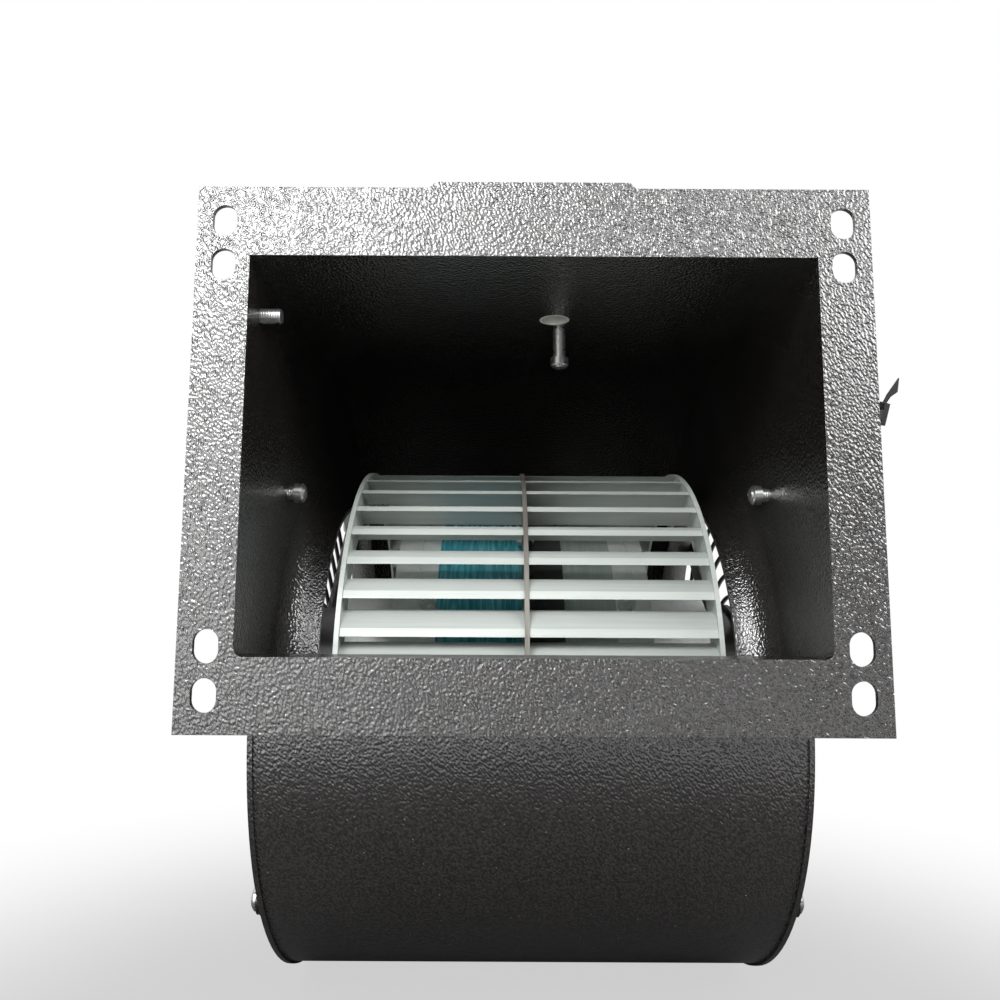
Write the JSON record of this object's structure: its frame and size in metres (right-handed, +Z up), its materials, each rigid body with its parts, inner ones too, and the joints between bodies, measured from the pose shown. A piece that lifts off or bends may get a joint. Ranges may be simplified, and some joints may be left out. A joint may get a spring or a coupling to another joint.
{
  "type": "dc blower fan",
  "caption": "Double inlet centrifugal blower: scroll housing with a flanged rectangular outlet, bladed impeller on a brushless motor, wire guards and a terminal box.",
  "frame": {"origin": "centre of the outlet opening, in the plane of the flange's front face", "axes": "+X along the impeller's axis, to the right seen from in front of the outlet; +Y from the outlet into the housing; +Z up"},
  "size_m": [0.1993, 0.228, 0.254],
  "materials": {
    "black_wrinkle_coat": "semi-gloss black powder coat with a fine wrinkle",
    "black_paint": "semi-gloss black",
    "zinc_plate": "bright zinc",
    "galvanised_sheet": "satin galvanised",
    "cast_aluminium": "as cast, lightly machined",
    "rotor_steel": "satin",
    "blue_film": "clear blue-green film",
    "black_moulding": "satin black",
    "ground_steel": "ground",
    "bearing_steel": "polished",
    "lamination_steel": "stacked sheet",
    "enamelled_copper": "enamelled wire",
    "ferrite": "sintered",
    "circuit_board": "green laminate",
    "nylon": "natural",
    "black_rubber": "matt",
    "lead_sheath": "satin black sheath",
    "capacitor_sleeve": "shrunk sleeve",
    "terminal_plastic": "satin green",
    "brass": "plain"
  },
  "bodies": {
    "housing": {"scroll_wrap": "black_wrinkle_coat", "side_plate_left": "black_wrinkle_coat", "side_plate_right": "black_wrinkle_coat", "outlet_flange": "black_wrinkle_coat", "finger_guard_left": "black_paint", "finger_guard_right": "black_paint", "guard_screws_left": "zinc_plate", "guard_screws_right": "zinc_plate", "guard_nuts": "zinc_plate", "motor_bracket_left": "black_paint", "motor_bracket_right": "black_paint", "motor_mount_left": "cast_aluminium", "motor_mount_right": "cast_aluminium", "mount_screws": "zinc_plate", "mount_screw_nuts": "zinc_plate", "motor_axle": "ground_steel", "axle_washers": "zinc_plate", "axle_nuts": "zinc_plate", "stator_core": "lamination_steel", "stator_windings": "enamelled_copper", "sensor_board": "circuit_board", "box_base": "black_wrinkle_coat", "box_cover": "black_wrinkle_coat", "box_cover_screws": "zinc_plate", "box_fixing_screw": "zinc_plate", "box_fixing_nut": "zinc_plate", "spare_hole_bush": "nylon", "driver_board": "circuit_board", "board_spacers": "nylon", "filter_capacitors": "capacitor_sleeve", "terminal_block": "terminal_plastic", "supply_gland": "black_moulding", "gland_locknut": "black_moulding", "box_grommet": "black_rubber", "bracket_grommet": "black_rubber", "motor_lead": "lead_sheath", "cable_tie": "black_moulding", "lead_saddle": "black_moulding", "earth_screw": "zinc_plate", "earth_washer": "brass"},
    "impeller": {"bearing_left": "bearing_steel", "bearing_right": "bearing_steel", "rotor_can": "rotor_steel", "rotor_magnets": "ferrite", "end_bell_left": "cast_aluminium", "end_bell_right": "cast_aluminium", "end_bell_screws": "zinc_plate", "rotor_sleeve": "blue_film", "hub_ring": "black_moulding", "disc_rivets": "zinc_plate", "impeller_disc": "galvanised_sheet", "impeller_blades_left": "galvanised_sheet", "impeller_blades_right": "galvanised_sheet", "impeller_ring_left": "galvanised_sheet", "impeller_ring_right": "galvanised_sheet", "balance_clips": "zinc_plate"}
  },
  "joints": [
    {"name": "impeller_spin", "type": "hinge", "parent": "housing", "child": "impeller", "pos_m": [0, 0.113, -0.069], "axis": [1, 0, 0], "continuous": true}
  ]
}
